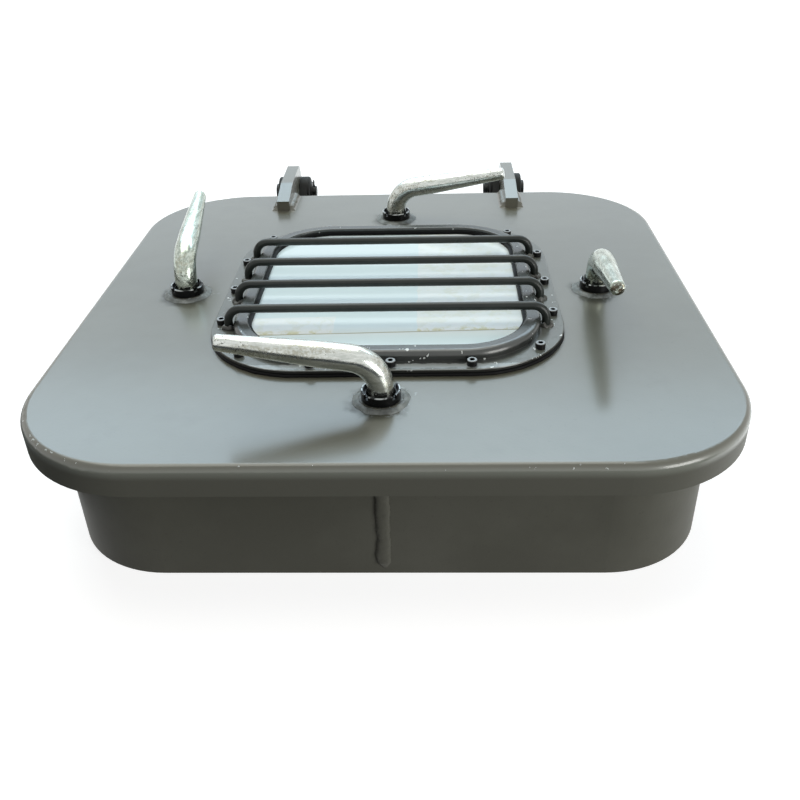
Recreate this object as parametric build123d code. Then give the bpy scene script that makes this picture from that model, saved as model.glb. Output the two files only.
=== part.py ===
from build123d import *
import math
import os

# Weathertight deck hatch: a welded coaming, a hinged lid with a guarded window, and four hand dogs.
# Millimetres and degrees. The origin is the middle of the clear opening on the deck, +Z is up,
# and the hinges are on the +Y side.

# Coaming
CLEAR_OPENING = 600.0
COAMING_WALL = 8.0
COAMING_CORNER = 95.0
COAMING_HEIGHT = 122.0
COAMING_LIP = 2.0
SEAM_WIDTH = 13.0
SEAM_PROUD = 2.2
SEAM_X = 2.0
SEAM_FOOT = 7.0
SEAM_TOP_GAP = 9.0
SEAM_END = 6.0

# Lid plate and its seal
SKIRT_GAP = 23.5
LID_CORNER = 127.0
LID_PLATE = 6.0
LID_EDGE = 7.0
SKIRT_DEPTH = 30.0
SEAL_WIDTH = 22.0
SEAL_HEIGHT = 15.7
SEAL_ROUND = 4.0
SEAL_GAP = 0.3
RETAINER_WIDTH = 4.0
RETAINER_HEIGHT = 12.0

# Window: its ring's place among the dogs, a little nearer to the front than the lid's middle
WINDOW_Y = -6.0
RING_MARGIN_SIDE = 73.0
RING_MARGIN_END = 56.5
RING_CORNER = 84.0
RING_WIDTH = 15.5
RING_RISE = 14.0
RING_ROUND = 6.0
RING_INNER_ROUND = 1.5
FLANGE_THICK = 3.0
FLANGE_MARGIN = 9.25
GASKET_THICK = 4.0
GASKET_INSET = 1.0
GLASS_THICK = 13.0
GLASS_TOP = 10.0
GLASS_LAP = 7.0
GLASS_GAP = 0.5
GLASS_BEVEL = 0.8
GLASS_SEAL = 1.0
SEAL_LINE = 3.0
SEAL_LIP = 3.0
BED_WIDTH = 10.0
SEAT_THICK = 6.0
HOLE_GAP = 1.0

# Frame screws, evenly spaced round the window
SCREW_COUNT = 16
SCREW_SHIFT = 7.0
SCREW_RING_GAP = 1.25
SCREW_BAR_GAP = 0.25
SCREW_CORNER_GAP = 1.0
SCREW_RADIUS = 3.0
SCREW_HEAD_RADIUS = 5.0
SCREW_HEAD_HEIGHT = 6.0
SCREW_HEAD_BEVEL = 0.6
SCREW_SOCKET = 5.0
SCREW_SOCKET_DEPTH = 3.0
SCREW_HOLE_GAP = 0.1

# Guard bars over the glass
BAR_COUNT = 4
BAR_RADIUS = 4.5
BAR_RING_GAP = 0.5
BAR_END_MARGIN = 64.25
BAR_SHIFT = -4.25
BAR_HEIGHT = 29.0
BAR_BEND = 15.0

# Dogs: handle rod and stem
DOG_INSET = 67.0
DOG_PLACE_ANGLE = {"near": 0.0, "right": 90.0, "far": 180.0, "left": 270.0}
DOG_REST_ANGLE = {"near": 4.3, "right": -3.4, "far": -8.7, "left": 3.3}
SLIP = 0.05
ROD_RADIUS = 12.5
STEM_STEP = 2.5
STEM_PLAY = 0.3
SQUARE_RELIEF = 0.1
SQUARE_GAP = 0.1
STEM_END_RADIUS = 6.0
STEM_TAIL = 19.0
HANDLE_HEIGHT = 40.0
HANDLE_BEND = 33.0
HANDLE_SLOPE_ANGLE = 10.6
HANDLE_LENGTH = 147.0
HANDLE_STRAIGHT = 28.0
HANDLE_WAIST_RADIUS = 12.2
HANDLE_TIP_RADIUS = 7.6
HANDLE_TIP_ROUND = 3.2

# Dogs: gland
PACKING_WIDTH = 4.45
PACKING_HEIGHT = 9.0
BOSS_WALL = 3.0
BOSS_RISE = 2.5
BOSS_WELD = 5.0
BOSS_WELD_ANGLE = 62.0
BOSS_DROP = 24.0
LEDGE_DEPTH = 14.0
NUT_RIM = 1.4
NUT_HEIGHT = 9.0
NUT_BORE_GAP = 1.3
NUT_SLOT = 5.0
NUT_SLOT_DEPTH = 4.0
NUT_CHAMFER = 0.6
NUT_WALL = 2.2
NUT_RECESS = 3.5

# Dogs: finger and its fastening
HUB_RADIUS = 17.0
FINGER_THICK = 16.0
FINGER_WIDTH = 22.0
FINGER_WALL_GAP = 9.0
FINGER_LEAD = 3.0
FINGER_LEAD_LENGTH = 12.0
WASHER_RADIUS = 12.0
WASHER_THICK = 2.5
DOG_NUT_ACROSS = 19.0
DOG_NUT_HEIGHT = 10.0
SPLIT_PIN_RADIUS = 1.5
SPLIT_PIN_EYE = 4.0
SPLIT_PIN_END = 6.0
SPLIT_PIN_SPREAD_ANGLE = 28.0
SPLIT_PIN_REACH = 2.0

# Catches on the coaming's inner wall
CATCH_DEPTH = 24.0
CATCH_HEIGHT = 14.0
CATCH_TOP_GAP = 12.0
CATCH_ENTRY = 28.0
CATCH_RAMP = 16.0
CATCH_RAMP_RISE = 5.0
CATCH_STOP = 8.0
CATCH_STOP_DROP = 9.0
CATCH_STOP_GAP = 0.7
CATCH_GAP = 0.7
CATCH_ROUND = 3.0

# Hinges, measured from the lid's rear edge and its top
HINGE_X = 160.0
PIN_SETBACK = 57.5
PIN_DROP = 14.5
PIN_RADIUS = 8.0
ARM_THICK = 17.0
ARM_FRONT = 68.5
ARM_FRONT_RISE = 13.5
ARM_KNEE = 20.0
ARM_KNEE_RISE = 24.5
ARM_CROWN = 60.0
ARM_CROWN_RISE = 26.0
ARM_CROWN_ROUND = 12.0
ARM_HEEL_GAP = 3.5
ARM_WELD = 8.0
ARM_WELD_RISE = 7.0
ARM_WELD_ANGLE = 45.0
BUSH_WALL = 4.0
EYE_WALL = 10.0
LUG_THICK = 10.0
LUG_GAP = 1.0
LUG_BOSS = 4.0
LUG_BOSS_ROUND = 3.0
LUG_SKIRT_GAP = 5.0
LUG_NECK_GAP = 7.5
PAD_THICK = 10.0
PAD_BOTTOM = 40.0
PIN_HEAD_RIM = 4.0
PIN_HEAD_THICK = 5.0
PIN_HEAD_ROUND = 2.0
PIN_BEVEL = 1.0
PIN_TAIL = 9.0
PIN_WASHER_RIM = 6.0
OPEN_ANGLE = 105.0
STOP_RADIUS = 8.0
STOP_WALL = 4.0
STOP_GAP = 1.0
STOP_ALONG = 18.0

# Levels that follow from the sizes above
LID_UNDER = COAMING_HEIGHT + SEAL_GAP + SEAL_HEIGHT
LID_TOP = LID_UNDER + LID_PLATE
SKIRT_BOTTOM = LID_TOP - SKIRT_DEPTH
GASKET_TOP = LID_TOP + GASKET_THICK
FLANGE_TOP = GASKET_TOP + FLANGE_THICK
GLASS_FACE = LID_TOP + GLASS_TOP
BOSS_TOP = LID_TOP + BOSS_RISE
BOSS_BOTTOM = LID_UNDER - BOSS_DROP
LEDGE = LID_TOP - LEDGE_DEPTH
HUB_TOP = BOSS_BOTTOM - STEM_PLAY
CATCH_TOP = COAMING_HEIGHT - CATCH_TOP_GAP
CATCH_UNDER = CATCH_TOP - CATCH_HEIGHT
FINGER_TOP = CATCH_UNDER - CATCH_GAP
FINGER_BOTTOM = FINGER_TOP - FINGER_THICK
DOG_NUT_TOP = FINGER_BOTTOM - WASHER_THICK
STEM_END = FINGER_BOTTOM - STEM_TAIL
SPLIT_PIN_Z = (DOG_NUT_TOP - DOG_NUT_HEIGHT + STEM_END) / 2

# Widths and places that follow from the sizes above
COAMING_OUT = CLEAR_OPENING / 2 + COAMING_WALL
WALL_MIDDLE = CLEAR_OPENING / 2 + COAMING_WALL / 2
CORNER_CENTRE = CLEAR_OPENING / 2 - COAMING_CORNER
LID_SIZE = 2 * (COAMING_OUT + SKIRT_GAP + LID_PLATE)
LID_REAR = LID_SIZE / 2
DOG_CENTRE = CLEAR_OPENING / 2 - DOG_INSET
RING_X = 2 * (DOG_CENTRE - RING_MARGIN_SIDE)
RING_Y = 2 * (DOG_CENTRE + WINDOW_Y - RING_MARGIN_END)
LEG_X = RING_X / 2 + BAR_RING_GAP + BAR_RADIUS
SCREW_X = 2 * (LEG_X + BAR_RADIUS + SCREW_BAR_GAP + SCREW_HEAD_RADIUS)
SCREW_Y = RING_Y + 2 * (SCREW_RING_GAP + SCREW_HEAD_RADIUS)
SCREW_CORNER = RING_CORNER + SCREW_CORNER_GAP + SCREW_HEAD_RADIUS
FLANGE_X = SCREW_X + 2 * FLANGE_MARGIN
FLANGE_Y = SCREW_Y + 2 * FLANGE_MARGIN
FLANGE_CORNER = SCREW_CORNER + FLANGE_MARGIN
SIGHT_X = RING_X - 2 * RING_WIDTH
SIGHT_Y = RING_Y - 2 * RING_WIDTH
SIGHT_CORNER = RING_CORNER - RING_WIDTH
BAR_PITCH = (SIGHT_Y - 2 * BAR_END_MARGIN) / (BAR_COUNT - 1)
PACKING_RADIUS = ROD_RADIUS + SLIP + PACKING_WIDTH
BOSS_RADIUS = PACKING_RADIUS + BOSS_WALL
STEM_RADIUS = ROD_RADIUS - STEM_STEP
STEM_SQUARE = (STEM_RADIUS - SQUARE_RELIEF) * math.sqrt(2)
FINGER_REACH = DOG_INSET - FINGER_WALL_GAP
PIN_Y = LID_REAR + PIN_SETBACK
PIN_Z = LID_TOP - PIN_DROP
BUSH_RADIUS = PIN_RADIUS + BUSH_WALL
EYE_RADIUS = BUSH_RADIUS + EYE_WALL
CROWN = (LID_REAR + ARM_CROWN, LID_TOP + ARM_CROWN_RISE)
LUG_INNER = ARM_THICK / 2 + LUG_GAP
LUG_OUTER = LUG_INNER + LUG_THICK + LUG_BOSS
LUG_SHELF = SKIRT_BOTTOM - LUG_SKIRT_GAP


def rounded_block(size_x, size_y, corner, low, high):
    """A plate or plug with rounded corners between two levels."""
    return Pos(0, 0, low) * extrude(RectangleRounded(size_x, size_y, corner), high - low)


def square_ring(half_outside, width, low, high):
    """A ring that follows the coaming's wall, so all such rings share their corner centres."""
    half_inside = half_outside - width
    outside = rounded_block(2 * half_outside, 2 * half_outside, half_outside - CORNER_CENTRE, low, high)
    inside = rounded_block(2 * half_inside, 2 * half_inside, half_inside - CORNER_CENTRE, low, high)
    return outside - inside


def window_block(size_x, size_y, corner, low, high):
    """A rounded block centred on the window."""
    return Pos(0, WINDOW_Y, 0) * rounded_block(size_x, size_y, corner, low, high)


def tube(outer, inner, low, high):
    """A straight tube standing on Z."""
    return Pos(0, 0, low) * extrude(Circle(outer) - Circle(inner), high - low)


def rod(radius, low, high):
    """A straight round bar standing on Z."""
    return Pos(0, 0, low) * extrude(Circle(radius), high - low)


def at_dog(part, name):
    """Set a piece of a dog, made at the near side, at its own place round the lid."""
    return Rot(0, 0, DOG_PLACE_ANGLE[name]) * part


def turned_dog(part, name):
    """Turn a moving dog piece about its spindle by its handle's rest angle, then place it."""
    return at_dog(Pos(0, -DOG_CENTRE, 0) * Rot(0, 0, DOG_REST_ANGLE[name]) * part, name)


def split_pin(across):
    """Split pin along X through a piece of the given width, its eye at +X and its ends spread at -X."""
    tip = -across / 2 - SPLIT_PIN_REACH
    back = across / 2 + SPLIT_PIN_REACH
    shank = Pos(tip, 0, 0) * Rot(0, 90, 0) * extrude(Circle(SPLIT_PIN_RADIUS), back - tip)
    ring = Circle(SPLIT_PIN_EYE) - Circle(SPLIT_PIN_EYE - SPLIT_PIN_RADIUS)
    wire = SPLIT_PIN_RADIUS / 2
    eye = Pos(back + SPLIT_PIN_EYE - wire, 0, 0) * extrude(ring, wire, both=True)
    half = Circle(SPLIT_PIN_RADIUS) & Pos(0, SPLIT_PIN_RADIUS) * Rectangle(8 * wire, 4 * wire)
    leg = Pos(tip, 0, 0) * Rot(0, 0, -SPLIT_PIN_SPREAD_ANGLE) * Rot(0, -90, 0) * extrude(half, SPLIT_PIN_END)
    return shank + eye + leg + mirror(leg, about=Plane.XZ)


def seam_section(level, width, proud):
    """Section of the weld bead on the coaming's front face."""
    root_y = -COAMING_OUT + SEAM_PROUD / 2
    arc = ThreePointArc((-width / 2, root_y), (0, -COAMING_OUT - proud), (width / 2, root_y))
    return Pos(SEAM_X, 0, level) * make_face(arc + Line(arc @ 1, arc @ 0))


def weld_seam():
    """Vertical weld bead that joins the ends of the coaming plate."""
    top = SKIRT_BOTTOM - SEAM_TOP_GAP
    small = (SEAM_WIDTH / 2, SEAM_PROUD / 4)
    full = (SEAM_WIDTH, SEAM_PROUD)
    levels = [(SEAM_FOOT, small), (SEAM_FOOT + SEAM_END, full), (top - SEAM_END, full), (top, small)]
    spans = [loft([seam_section(a, *p), seam_section(b, *q)]) for (a, p), (b, q) in zip(levels, levels[1:])]
    return spans


def coaming():
    """Rounded-square upstand of bent plate, with its closing weld seam at the front."""
    wall = square_ring(COAMING_OUT, COAMING_WALL, 0, COAMING_HEIGHT)
    wall = fillet(wall.edges().group_by(Axis.Z)[-1], COAMING_LIP)
    return wall + weld_seam()


def catch():
    """Wedge block on the inner wall at the near side, with an end stop for the finger."""
    stop_in = -FINGER_WIDTH / 2 - CATCH_STOP_GAP
    stop_out = stop_in - CATCH_STOP
    low = CATCH_UNDER - CATCH_STOP_DROP
    outline = Polyline(
        (stop_out, low), (stop_in, low), (stop_in, CATCH_UNDER), (CATCH_ENTRY - CATCH_RAMP, CATCH_UNDER),
        (CATCH_ENTRY, CATCH_UNDER + CATCH_RAMP_RISE), (CATCH_ENTRY, CATCH_TOP), (stop_out, CATCH_TOP),
        close=True)
    block = extrude(Plane.XZ * make_face(outline), -CATCH_DEPTH)
    block = Pos(0, -CLEAR_OPENING / 2, 0) * block
    return fillet(block.edges().filter_by(Axis.Z).group_by(Axis.Y)[-1], CATCH_ROUND)


def screw_places():
    """Centres of the frame screws, evenly spaced anticlockwise from near the front's middle."""
    x = SCREW_X / 2
    y = SCREW_Y / 2
    half = FilletPolyline((0, -y), (x, -y), (x, y), (0, y), radius=SCREW_CORNER)
    space = 2 * half.length / SCREW_COUNT
    places = []
    for number in range(SCREW_COUNT // 2):
        place = half.position_at(SCREW_SHIFT + number * space, position_mode=PositionMode.LENGTH)
        places.extend([place, -place])
    return [place + Vector(0, WINDOW_Y) for place in places]


def screw_holes(low, high):
    """Clearance holes for the frame screws."""
    hole = rod(SCREW_RADIUS + SCREW_HOLE_GAP, low, high)
    return [Pos(place.X, place.Y, 0) * hole for place in screw_places()]


def lid_plate():
    """Lid with a turned-down skirt, a window hole and four holes for the gland bosses."""
    shell = rounded_block(LID_SIZE, LID_SIZE, LID_CORNER, SKIRT_BOTTOM, LID_TOP)
    shell = fillet(shell.edges().group_by(Axis.Z)[-1], LID_EDGE)
    inside = LID_SIZE - 2 * LID_PLATE
    shell -= rounded_block(inside, inside, LID_CORNER - LID_PLATE, SKIRT_BOTTOM, LID_UNDER)
    gap = 2 * (GLASS_LAP + HOLE_GAP)
    corner = SIGHT_CORNER + GLASS_LAP + HOLE_GAP
    shell -= window_block(SIGHT_X + gap, SIGHT_Y + gap, corner, LID_UNDER, LID_TOP)
    shell -= screw_holes(LID_UNDER, LID_TOP)
    hole = Pos(0, -DOG_CENTRE, 0) * rod(BOSS_RADIUS, LID_UNDER, LID_TOP)
    return shell - [at_dog(hole, name) for name in DOG_PLACE_ANGLE]


def seal_retainer(half_outside):
    """Flat bar welded under the lid on one side of the seal."""
    return square_ring(half_outside, RETAINER_WIDTH, LID_UNDER - RETAINER_HEIGHT, LID_UNDER)


def lid_seal():
    """Rubber seal that closes on the coaming's edge."""
    seal = square_ring(WALL_MIDDLE + SEAL_WIDTH / 2, SEAL_WIDTH, LID_UNDER - SEAL_HEIGHT, LID_UNDER)
    return fillet(seal.edges().group_by(Axis.Z)[0], SEAL_ROUND)


def window_seat():
    """Flat ring welded under the lid that carries the glass."""
    width = 2 * (RING_WIDTH + SEAL_LINE)
    seat = window_block(RING_X, RING_Y, RING_CORNER, LID_UNDER - SEAT_THICK, LID_UNDER)
    return seat - window_block(RING_X - width, RING_Y - width, RING_CORNER - width / 2,
                               LID_UNDER - SEAT_THICK, LID_UNDER)


def glass_outline(gap, low, high):
    """Block of the glass's outline, larger by a gap all round."""
    grow = 2 * (GLASS_LAP + gap)
    return window_block(SIGHT_X + grow, SIGHT_Y + grow, SIGHT_CORNER + GLASS_LAP + gap, low, high)


def glass_bed():
    """Rubber strip between the seat and the glass."""
    low = LID_UNDER
    high = GLASS_FACE - GLASS_THICK
    return glass_outline(0, low, high) - glass_outline(-BED_WIDTH, low, high)


def window_glass():
    """Toughened glass plate with a small edge bevel."""
    glass = glass_outline(0, GLASS_FACE - GLASS_THICK, GLASS_FACE)
    return chamfer(glass.edges().group_by(Axis.Z)[-1], GLASS_BEVEL)


def glass_seal():
    """Rubber between the glass and the frame, with a lip that shows as a black line."""
    lap = glass_outline(0, GLASS_FACE, GLASS_FACE + GLASS_SEAL)
    lip = window_block(SIGHT_X, SIGHT_Y, SIGHT_CORNER, GLASS_FACE, GLASS_FACE + GLASS_SEAL + SEAL_LIP)
    line = 2 * SEAL_LINE
    opening = window_block(SIGHT_X - line, SIGHT_Y - line, SIGHT_CORNER - SEAL_LINE,
                           GLASS_FACE, GLASS_FACE + GLASS_SEAL + SEAL_LIP)
    return lap + lip - opening


def window_gasket():
    """Rubber sheet between the lid and the frame's flange."""
    inset = 2 * GASKET_INSET
    sheet = window_block(FLANGE_X - inset, FLANGE_Y - inset, FLANGE_CORNER - GASKET_INSET, LID_TOP, GASKET_TOP)
    return sheet - glass_outline(HOLE_GAP, LID_TOP, GASKET_TOP) - screw_holes(LID_TOP, GASKET_TOP)


def window_frame():
    """Thin bolted flange with a raised, rounded ring that holds the glass down."""
    flange = window_block(FLANGE_X, FLANGE_Y, FLANGE_CORNER, GASKET_TOP, FLANGE_TOP)
    flange = fillet(flange.edges().group_by(Axis.Z)[-1], FLANGE_THICK / 3)
    ring = window_block(RING_X, RING_Y, RING_CORNER, GASKET_TOP, GASKET_TOP + RING_RISE)
    ring = fillet(ring.edges().group_by(Axis.Z)[-1], RING_ROUND)
    frame = flange + ring
    frame -= window_block(SIGHT_X, SIGHT_Y, SIGHT_CORNER, GASKET_TOP, GASKET_TOP + RING_RISE)
    inner_edge = frame.faces().sort_by(Axis.Z)[-1].inner_wires()[0].edges()
    frame = fillet(inner_edge, RING_INNER_ROUND)
    frame -= glass_outline(GLASS_GAP, GASKET_TOP, GLASS_FACE + GLASS_SEAL)
    return frame - screw_holes(GASKET_TOP, FLANGE_TOP)


def window_screw():
    """Socket-head cap screw standing on the flange at the origin's X and Y."""
    head = rod(SCREW_HEAD_RADIUS, FLANGE_TOP, FLANGE_TOP + SCREW_HEAD_HEIGHT)
    head = chamfer(head.edges().group_by(Axis.Z)[-1], SCREW_HEAD_BEVEL)
    socket = extrude(RegularPolygon(SCREW_SOCKET / math.sqrt(3), 6), SCREW_SOCKET_DEPTH)
    head -= Pos(0, 0, FLANGE_TOP + SCREW_HEAD_HEIGHT - SCREW_SOCKET_DEPTH) * socket
    return head + rod(SCREW_RADIUS, LID_UNDER, FLANGE_TOP)


def guard_bar(y):
    """Round bar bent down at both ends and welded to the flange."""
    height = LID_TOP + BAR_HEIGHT
    corners = [(-LEG_X, y, FLANGE_TOP), (-LEG_X, y, height), (LEG_X, y, height), (LEG_X, y, FLANGE_TOP)]
    path = FilletPolyline(*corners, radius=BAR_BEND)
    return sweep(Plane(origin=path @ 0, z_dir=path % 0) * Circle(BAR_RADIUS), path=path)


def gland_boss():
    """Turned boss welded through the lid, bored for the stem and the packing."""
    boss = rod(BOSS_RADIUS, BOSS_BOTTOM, BOSS_TOP)
    weld = Pos(0, 0, LID_TOP) * extrude(Circle(BOSS_RADIUS + BOSS_WELD), BOSS_RISE, taper=BOSS_WELD_ANGLE)
    boss = boss + weld - rod(STEM_RADIUS + SLIP, BOSS_BOTTOM, LEDGE)
    boss -= rod(PACKING_RADIUS, LEDGE, BOSS_TOP)
    return Pos(0, -DOG_CENTRE, 0) * boss


def gland_packing():
    """Packing ring squeezed round the rod."""
    packing = tube(PACKING_RADIUS, ROD_RADIUS + SLIP, LEDGE, LEDGE + PACKING_HEIGHT)
    return Pos(0, -DOG_CENTRE, 0) * packing


def gland_nut():
    """Round slotted nut that presses on the packing."""
    bore = ROD_RADIUS + NUT_BORE_GAP
    head_radius = PACKING_RADIUS + NUT_RIM
    head = rod(head_radius, BOSS_TOP, BOSS_TOP + NUT_HEIGHT)
    head = chamfer(head.edges().group_by(Axis.Z)[-1], NUT_CHAMFER)
    sleeve = rod(PACKING_RADIUS, LEDGE + PACKING_HEIGHT, BOSS_TOP)
    top = BOSS_TOP + NUT_HEIGHT
    nut = head + sleeve - rod(bore, LEDGE + PACKING_HEIGHT, top)
    nut -= rod(head_radius - NUT_WALL, top - NUT_RECESS, top)
    slot = Pos(0, 0, top) * Box(3 * head_radius, NUT_SLOT, 2 * NUT_SLOT_DEPTH)
    nut -= [Rot(0, 0, turn) * slot for turn in (45, 135)]
    return Pos(0, -DOG_CENTRE, 0) * nut


def handle_lever():
    """Tapered lever, made along Z from the end of the bend, with a rounded tip."""
    slope = math.radians(90 - HANDLE_SLOPE_ANGLE)
    length = HANDLE_LENGTH - HANDLE_BEND * math.tan(slope / 2)
    tip_flat = HANDLE_TIP_RADIUS - HANDLE_TIP_ROUND
    side = Polyline((0, 0), (ROD_RADIUS, 0), (HANDLE_WAIST_RADIUS, HANDLE_STRAIGHT),
                    (HANDLE_TIP_RADIUS, length - HANDLE_TIP_ROUND))
    cap = RadiusArc(side @ 1, (tip_flat, length), -HANDLE_TIP_ROUND)
    end = Polyline(cap @ 1, (0, length), (0, 0))
    return revolve(Plane.XZ * make_face(side + cap + end), Axis.Z)


def handle():
    """Galvanised round rod: stem, bend and tapered lever that points along -X."""
    corner = LID_TOP + HANDLE_HEIGHT
    turn = 90 - HANDLE_SLOPE_ANGLE
    setback = HANDLE_BEND * math.tan(math.radians(turn) / 2)
    bend_start = corner - setback
    shoulder = LEDGE + STEM_PLAY
    stem = rod(ROD_RADIUS, shoulder, bend_start) + rod(STEM_RADIUS, HUB_TOP, shoulder)
    square = Pos(0, 0, FINGER_BOTTOM) * extrude(Rectangle(STEM_SQUARE, STEM_SQUARE), HUB_TOP - FINGER_BOTTOM)
    tail = rod(STEM_END_RADIUS, STEM_END, FINGER_BOTTOM)
    pin_hole = Pos(0, 0, SPLIT_PIN_Z) * Rot(0, 90, 0) * Cylinder(SPLIT_PIN_RADIUS + SLIP, 3 * STEM_END_RADIUS)
    bend_axis = Axis((-HANDLE_BEND, 0, bend_start), (0, -1, 0))
    bend = revolve(Pos(0, 0, bend_start) * Circle(ROD_RADIUS), bend_axis, turn)
    slope = math.radians(HANDLE_SLOPE_ANGLE)
    along = Vector(-math.cos(slope), 0, math.sin(slope))
    lever_plane = Plane(origin=Vector(0, 0, corner) + along * setback, z_dir=along)
    return stem + square + tail - pin_hole + bend + lever_plane * handle_lever()


def dog_finger():
    """Forged finger clamped on the stem's square, pointing along +X from a tall hub."""
    hub = rod(HUB_RADIUS, FINGER_BOTTOM, HUB_TOP)
    reach = FINGER_REACH - FINGER_WIDTH / 2
    arm = Pos(reach / 2, 0) * Rectangle(reach, FINGER_WIDTH) + Pos(reach, 0) * Circle(FINGER_WIDTH / 2)
    arm = Pos(0, 0, FINGER_BOTTOM) * extrude(arm, FINGER_THICK)
    lead = Polyline((FINGER_REACH - FINGER_LEAD_LENGTH, FINGER_TOP), (FINGER_REACH, FINGER_TOP),
                    (FINGER_REACH, FINGER_TOP - FINGER_LEAD), close=True)
    arm -= Pos(0, FINGER_WIDTH, 0) * extrude(Plane.XZ * make_face(lead), 2 * FINGER_WIDTH)
    hole = STEM_SQUARE + 2 * SQUARE_GAP
    square = Pos(0, 0, FINGER_BOTTOM) * extrude(Rectangle(hole, hole), HUB_TOP - FINGER_BOTTOM)
    return hub + arm - square


def dog_washer():
    """Washer under the finger."""
    return tube(WASHER_RADIUS, STEM_END_RADIUS + SQUARE_GAP, DOG_NUT_TOP, FINGER_BOTTOM)


def dog_nut():
    """Hexagon nut that clamps the finger."""
    nut = extrude(RegularPolygon(DOG_NUT_ACROSS / math.sqrt(3), 6), DOG_NUT_HEIGHT)
    nut = Pos(0, 0, DOG_NUT_TOP - DOG_NUT_HEIGHT) * nut
    return nut - rod(STEM_END_RADIUS + SLIP, DOG_NUT_TOP - DOG_NUT_HEIGHT, DOG_NUT_TOP)


def dog_split_pin():
    """Split pin through the stem's end, below the nut."""
    return Pos(0, 0, SPLIT_PIN_Z) * split_pin(2 * STEM_END_RADIUS)


def tangent_point(point, centre, radius, side):
    """Where a line from a point touches a circle, on the given side."""
    away = math.atan2(point[1] - centre[1], point[0] - centre[0])
    spread = math.acos(radius / math.dist(point, centre)) * side
    return (centre[0] + radius * math.cos(away + spread), centre[1] + radius * math.sin(away + spread))


def slab(outline, x_low, x_high):
    """Extrude a profile drawn in Y and Z along X."""
    return Pos(x_low, 0, 0) * extrude(Plane.YZ * outline, x_high - x_low)


def disc(radius, x_low, x_high):
    """A round piece on the hinge pin's axis."""
    return slab(Pos(PIN_Y, PIN_Z) * Circle(radius), x_low, x_high)


def hinge_arm():
    """Profile-cut arm welded on the lid, with its eye behind the lid, centred on X = 0."""
    pin = (PIN_Y, PIN_Z)
    front = LID_REAR - ARM_FRONT
    heel = (LID_REAR + ARM_HEEL_GAP, LID_TOP)
    outline = Polyline(
        (front, LID_TOP), (front, LID_TOP + ARM_FRONT_RISE), (LID_REAR - ARM_KNEE, LID_TOP + ARM_KNEE_RISE),
        CROWN, tangent_point(CROWN, pin, EYE_RADIUS, -1), pin, tangent_point(heel, pin, EYE_RADIUS, 1), heel,
        close=True)
    half = ARM_THICK / 2
    arm = slab(make_face(outline) + Pos(*pin) * Circle(EYE_RADIUS), -half, half)
    arm = fillet(arm.edges().filter_by(Axis.X).sort_by(Axis.Z)[-1], ARM_CROWN_ROUND)
    foot_end = LID_REAR - LID_EDGE
    foot = Rectangle(ARM_THICK + 2 * ARM_WELD, foot_end - front)
    weld = extrude(foot, ARM_WELD_RISE, taper=ARM_WELD_ANGLE)
    return arm + Pos(0, (front + foot_end) / 2, LID_TOP) * weld - disc(BUSH_RADIUS, -half, half)


def hinge_bush():
    """Bush pressed in the arm's eye."""
    half = ARM_THICK / 2
    return disc(BUSH_RADIUS, -half, half) - disc(PIN_RADIUS + SLIP, -half, half)


def stop_centre():
    """Centre of the stop bar: a small gap behind the arm's back when the lid is fully open."""
    touch = tangent_point(CROWN, (PIN_Y, PIN_Z), EYE_RADIUS, -1)
    rest = math.atan2(touch[1] - PIN_Z, touch[0] - PIN_Y)
    opened = rest - math.radians(OPEN_ANGLE)
    off = EYE_RADIUS + STOP_GAP + STOP_RADIUS
    out = (math.cos(opened), math.sin(opened))
    along = (-out[1], out[0])
    return (PIN_Y + out[0] * off + along[0] * STOP_ALONG, PIN_Z + out[1] * off + along[1] * STOP_ALONG)


def hinge_lug():
    """One gooseneck cheek that passes under the skirt and rises to the pin, at +X of the arm."""
    pin = (PIN_Y, PIN_Z)
    stop = stop_centre()
    stop_boss = STOP_RADIUS + STOP_WALL
    pad_y = COAMING_OUT + PAD_THICK
    neck = (LID_REAR + LUG_NECK_GAP, LUG_SHELF)
    foot = (pad_y, PAD_BOTTOM)
    outline = Polyline(
        (pad_y, LUG_SHELF), neck, tangent_point(neck, pin, EYE_RADIUS, -1), pin, stop,
        tangent_point(foot, stop, stop_boss, 1), foot, close=True)
    links = make_hull((Pos(*pin) * Circle(EYE_RADIUS)).edges() + (Pos(*stop) * Circle(stop_boss)).edges())
    plate = slab(make_face(outline) + links, LUG_INNER, LUG_INNER + LUG_THICK)
    boss = disc(EYE_RADIUS, LUG_INNER + LUG_THICK, LUG_OUTER)
    boss = fillet(boss.edges().group_by(Axis.X)[-1], LUG_BOSS_ROUND)
    return plate + boss - disc(PIN_RADIUS + SLIP, LUG_INNER, LUG_OUTER)


def hinge_bracket():
    """Welded bracket: a pad on the coaming, two gooseneck cheeks and the stop bar between them."""
    lug = hinge_lug()
    width = 2 * (LUG_INNER + LUG_THICK)
    pad = extrude(Rectangle(width, PAD_THICK), LUG_SHELF - PAD_BOTTOM)
    pad = Pos(0, COAMING_OUT + PAD_THICK / 2, PAD_BOTTOM) * pad
    stop = slab(Pos(*stop_centre()) * Circle(STOP_RADIUS), -LUG_INNER, LUG_INNER)
    return pad + lug + mirror(lug, about=Plane.YZ) + stop


def hinge_pin():
    """Headed pin through both cheeks, its head outboard at +X and its end drilled for a split pin."""
    tail = -LUG_OUTER - PIN_TAIL
    head = disc(PIN_RADIUS + PIN_HEAD_RIM, LUG_OUTER, LUG_OUTER + PIN_HEAD_THICK)
    head = fillet(head.edges().group_by(Axis.X)[-1], PIN_HEAD_ROUND)
    shank = disc(PIN_RADIUS, tail, LUG_OUTER)
    shank = chamfer(shank.edges().group_by(Axis.X)[0], PIN_BEVEL)
    return shank + head - pin_split_place() * Cylinder(SPLIT_PIN_RADIUS + SLIP, 3 * PIN_RADIUS)


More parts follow.
